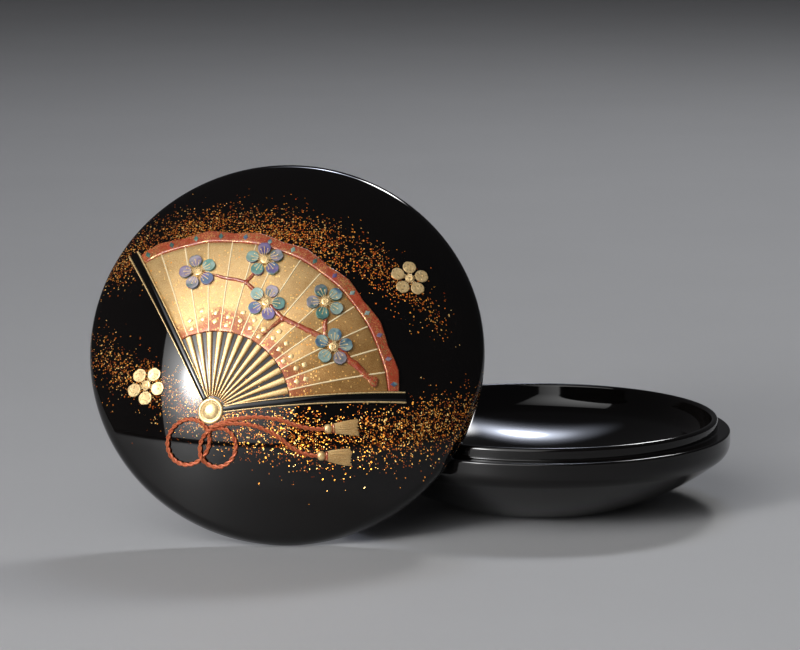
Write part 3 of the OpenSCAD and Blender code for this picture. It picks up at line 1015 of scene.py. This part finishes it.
def make_tassels(gold, band):
    """A bound head and a skirt of loose threads at the end of each cord tail."""
    tassels = Build()
    dice = random.Random(7)
    for tail in CORD_TAILS:
        mid_x, mid_y, end = tail_end(tail)

        def place(aside, along):
            x, y = turned(tail[5] + aside, along, end)
            return from_rivet(mid_x + x, mid_y + y)

        boss(tassels, disc(place, 0, HEAD_AT, HEAD_R), [(1, SUNK)] + dome(0, HEAD_DOME), 28)
        plate(tassels, lambda s, t: place(BAND_W * (s - 0.5), mix(BAND_AT, BAND_AT + BAND_L, t)),
              lambda s, t: 0.5 + 0.22 * math.sin(math.pi * s), steps(BAND_W, 8, 0.2), steps(BAND_L, 3, 0.15),
              0.2, paint=1)
        for k in range(THREADS):
            spread = k / (THREADS - 1) * 2 - 1
            drift = dice.uniform(-0.12, 0.12)
            reach = TASSEL_L - dice.uniform(0, 0.4)
            path = []
            for j in range(THREAD_POINTS):
                t = j / (THREAD_POINTS - 1)
                aside = spread * mix(0.72, TASSEL_W / 2 - 0.12, t ** 0.8) + drift * math.sin(math.pi * t)
                rise = 0.16 + 0.3 * (1 - spread ** 2) * (1 - 0.45 * t) + 0.07 * (k % 2)
                path.append((*place(aside, mix(THREADS_AT, reach, t)), rise))
            tube(tassels, path, [THREAD_R] * (THREAD_POINTS - 1) + [THREAD_END_R], 8)
    tassels.piece("fan_tassel_threads", [gold, band], "lid", ["fan_tassels"])


# Plum branch, blossoms and inlays

def make_branch(material):
    branch = Build()
    strokes = list(zip(BRANCH, BRANCH[1:])) + [(BRANCH[start], end) for start, end in TWIGS]
    for number, (start, end) in enumerate(strokes):
        from_x, from_y, from_w = start
        to_x, to_y, to_w = end
        length = math.hypot(to_x - from_x, to_y - from_y)
        side = ((from_y - to_y) / length, (to_x - from_x) / length)

        def place(s, t):
            rough = noise.noise(Vector((t * length / 1.3, s * 2, number * 7)))
            aside = (s - 0.5) * mix(from_w, to_w, t) * (1 + 0.3 * rough)
            sway = 0.35 * noise.noise(Vector((t * length / 3, 5, number * 7))) * math.sin(math.pi * t)
            x = mix(from_x, to_x, t) + side[0] * (aside + sway)
            y = mix(from_y, to_y, t) + side[1] * (aside + sway)
            return from_rivet(x, y)

        def top(s, t):
            bark = noise.noise(Vector((t * length / 0.5, s * 3, number * 3)))
            return LINE_TOP + BRANCH_T * math.sin(math.pi * s) + 0.06 * bark

        along = steps(length, max(6, round(length / 0.3)), 0.2)
        plate(branch, place, top, steps(1, 7, 0.12), along, 0.12, foot=VALLEY)
    for x, y, width in BRANCH + [end for start, end in TWIGS]:
        def knot(share, degrees):
            bulge = 1 + 0.12 * math.sin(math.radians(3 * degrees) + x)
            aside, ahead = turned(share * bulge * width * KNOT_SWELL / 2, 0, degrees)
            return from_rivet(x + aside, y + ahead)

        boss(branch, knot, [(1, VALLEY)] + dome(LINE_TOP + BRANCH_T, KNOT_DOME), 20)
    branch.piece("plum_branch_bark", [material], "lid", ["plum_branch"])


def hidden_foot(level):
    """Height of the foot of an inlay at that level: within the branch and leaf, or sunk in the crown."""
    return level - HIDDEN if level else SUNK


def petal(build, blossom, number, level):
    """One cupped petal, narrower towards the middle of its blossom, with a rolled edge."""
    middle_x, middle_y, turn = blossom

    def place(share, degrees):
        angle = math.radians(degrees)
        reach = PETAL_R * share * (1 - 0.1 * (1 - math.cos(angle)) / 2)
        notch = 1 - 0.1 * math.exp(-(math.atan2(math.sin(angle), math.cos(angle)) / 0.22) ** 2) * share ** 3
        x = PETAL_REACH + reach * notch * math.cos(angle)
        y = reach * math.sin(angle)
        x, y = turned(x, y, turn + number * 360 / PETALS)
        return middle_x + x, middle_y + y

    profile = [(1, hidden_foot(level))] + dome(level + BED + PETAL_T, PETAL_DOME)
    boss(build, place, profile, 40)


def eye(build, blossom, level):
    """The gold middle of a blossom: a ring of beads round a boss, and fine stamens over the petals."""
    middle_x, middle_y, turn = blossom
    high = level + BED + EYE_T
    top = level + BED + PETAL_T

    def around(x, y):
        dx, dy = turned(x, y, turn)
        return middle_x + dx, middle_y + dy

    boss(build, disc(around, 0, 0, EYE_R), [(1, hidden_foot(level))] + dome(high, EYE_DOME), 32)
    for k in range(BEADS):
        x, y = turned(0.5 * EYE_R, 0, 360 / BEADS * k)
        boss(build, disc(around, x, y, BEAD_R), dome(high, BEAD_DOME), 10)
    for k in range(STAMENS * PETALS):
        aside = k % STAMENS - 1
        angle = 360 / PETALS * (k // STAMENS) + aside * STAMEN_TURN
        reach = PETAL_REACH + (-0.1 if aside else 0.25)
        path = []
        for j in range(7):
            x, y = turned(mix(EYE_R * 0.8, reach, j / 6), 0, angle)
            path.append((*around(x, y), top - STAMEN_SINK))
        tube(build, path, [STAMEN_R] * 7, 6)
        x, y = turned(reach, 0, angle)
        boss(build, disc(around, x, y, TIP_R), dome(top, TIP_DOME), 10)


def make_blossoms(gold):
    leaf_places = [(*from_rivet(x, y), turn) for x, y, turn in LEAF_BLOSSOMS]
    for name, places, level, material, slot, node in (
            ("shell_petals_cut", leaf_places, BRANCH_TOP, shell("petal_shell"), "shell", "shell_petals"),
            ("gold_petals_cut", GROUND_BLOSSOMS, 0, cut_gold("petal_gold"), "cut_gold", "gold_petals")):
        petals = Build()
        for blossom in places:
            for number in range(PETALS):
                petal(petals, blossom, number, level)
        petals.piece(name, [material], "lid", [node])
    eyes = Build()
    for blossom in leaf_places:
        eye(eyes, blossom, BRANCH_TOP)
    for blossom in GROUND_BLOSSOMS:
        eye(eyes, blossom, 0)
    eyes.piece("petal_eyes_gold", [gold], "lid", ["petal_eyes"])


def panel_angle(panel):
    """Direction of the middle of a panel of the leaf."""
    return FAN_TURN + (panel + 0.5) * PANEL_TURN - FAN_SPREAD / 2


def make_inlays():
    """Gold squares on the leaf, and shell chips on its border."""
    squares = Build()
    sides = steps(SQUARE_S, 2, SQUARE_EDGE)
    for panel in range(1, PANELS - 1):
        start = LEAF_IN_R + SQUARE_START + SQUARE_STAGGER * (panel % STAGGER_PANELS)
        for row in (0, 1):
            radius = start + SQUARE_STEP * row

            def place(s, t):
                x, y = turned((s - 0.5) * SQUARE_S, (t - 0.5) * SQUARE_S, SQUARE_TURN * (panel + row))
                return from_rivet(*turned(radius + x, y, panel_angle(panel)))

            plate(squares, place, lambda s, t: LINE_TOP, sides, sides, SQUARE_EDGE, foot=VALLEY)
    gold = cut_gold("square_gold")
    squares.piece("cut_gold_leaf_squares", [gold], "lid", ["cut_gold_squares"])
    chips = Build()
    sides = steps(CHIP_SIDE, 3, CHIP_EDGE)
    for panel in range(PANELS):
        def corner(s, t):
            x = CHIP_L / 2 * (1 - s - t)
            y = CHIP_W / 2 * (s - t)
            return from_rivet(*turned((BORDER_IN_R + FAN_R) / 2 + x, y, panel_angle(panel)))

        plate(chips, corner, lambda s, t: TRIM_TOP + LINE_T, sides, sides, CHIP_EDGE, foot=LEAF_TOP)
    chips.piece("shell_border_chips", [shell("chip_shell")], "lid", ["shell_chips"])


# Floor, light and camera

CAMERA_PLACE = (-27.84, -782.74, 165.3)
CAMERA_PITCH = 9.413
FOCAL_PX = 3992
PHOTO_W = 800
SENSOR_W = 36
SIGHT = 20000
FLOOR_HALF = 2500
FLOOR_DROP = 0.05
# Point that the lamps face
LAMP_AIM = (-30, 0, 25)


def make_floor():
    """Pale matt table top under the box."""
    mesh = bpy.data.meshes.new("floor")
    square = ((-1, -1), (1, -1), (1, 1), (-1, 1))
    corners = [Vector((x * FLOOR_HALF, y * FLOOR_HALF, -FLOOR_DROP)) * MM for x, y in square]
    mesh.from_pydata(corners, [], [(0, 1, 2, 3)])
    floor = bpy.data.objects.new("floor", mesh)
    scene.collection.objects.link(floor)
    graph = Graph("floor", on_lid=False)
    graph.set(Base_Color=graph.blend(graph.noise(60, 4), TABLE, TABLE_PALE), Roughness=0.6)
    mesh.materials.append(graph.material)


def softbox(name, azimuth, elevation, distance, width, height, watts, colour=WHITE):
    """Area lamp that faces the box. Azimuth 0 is in front and 90 at the right, in degrees."""
    lamp = bpy.data.lights.new(name, "AREA")
    lamp.shape = "RECTANGLE"
    lamp.size = width * MM
    lamp.size_y = height * MM
    lamp.energy = watts
    lamp.color = colour
    made = bpy.data.objects.new(name, lamp)
    aside = math.radians(azimuth)
    level = math.radians(elevation)
    back = Vector((math.sin(aside) * math.cos(level), -math.cos(aside) * math.cos(level), math.sin(level)))
    made.location = (Vector(LAMP_AIM) + back * distance) * MM
    made.rotation_euler = back.to_track_quat("Z", "Y").to_euler()
    scene.collection.objects.link(made)
    return lamp


def bulb_behind(lamp, across, up, rings):
    """Brighter spot behind a softbox's cloth, at shares of its width and height: rings of (radius, gain)."""
    lamp.use_nodes = True
    nodes = Nodes(lamp.node_tree)
    sheet = nodes.node("NewGeometry").outputs["Parametric"]
    away = nodes.math("DISTANCE", sheet, (across, up, 0), kind="VectorMath")
    total = 0.0
    for radius, gain in rings:
        total = nodes.math("ADD", total, nodes.span(away, 0, radius, gain, 0, "SMOOTHERSTEP"))
    nodes.put(total, lamp.node_tree.nodes["Emission"].inputs["Strength"])


def make_light():
    """A wide softbox in front, a cool one behind that glows in the bowl, and a small one for the rim."""
    key = softbox("key", -25, 36, 800, 820, 1160, 5.4)
    key.spread = math.radians(130)
    bulb_behind(key, 0.27, 0.31, ((0.16, 12), (0.36, 3), (1.3, 0.85)))
    back = softbox("back", 172, 47.4, 1000, 500, 250, 2, COOL_WHITE)
    bulb_behind(back, 0.5, 0.5, ((0.16, 8), (0.34, 2), (0.55, 0.8)))
    rim = softbox("rim", 156, 42, 1000, 260, 300, 3.2)
    rim.shape = "ELLIPSE"
    bulb_behind(rim, 0.5, 0.5, ((0.5, 3),))
    world = bpy.data.worlds.new("room")
    world.use_nodes = True
    world.node_tree.nodes["Background"].inputs["Color"].default_value = (*ROOM, 1)
    scene.world = world


def make_camera():
    lens = bpy.data.cameras.new("camera")
    lens.sensor_fit = "HORIZONTAL"
    lens.sensor_width = SENSOR_W
    lens.lens = FOCAL_PX * SENSOR_W / PHOTO_W
    lens.clip_end = SIGHT * MM
    camera = bpy.data.objects.new("camera", lens)
    camera.location = Vector(CAMERA_PLACE) * MM
    camera.rotation_euler = (math.radians(90 - CAMERA_PITCH), 0, 0)
    scene.collection.objects.link(camera)
    scene.camera = camera


make_camera()
make_floor()
make_light()
make_halves()
bright_gold = cut_gold("bright_gold")
make_leaf()
make_fold_lines(thread_gold())
make_ribs(gold_powder("rib_gold"))
make_guards(bright_gold)
make_rivet(bright_gold)
make_cord()
make_tassels(gold_powder("tassel_gold"), red_lacquer("tassel_red"))
make_branch(red_lacquer("branch_red"))
make_blossoms(bright_gold)
make_inlays()

scene.view_settings.view_transform = "Standard"
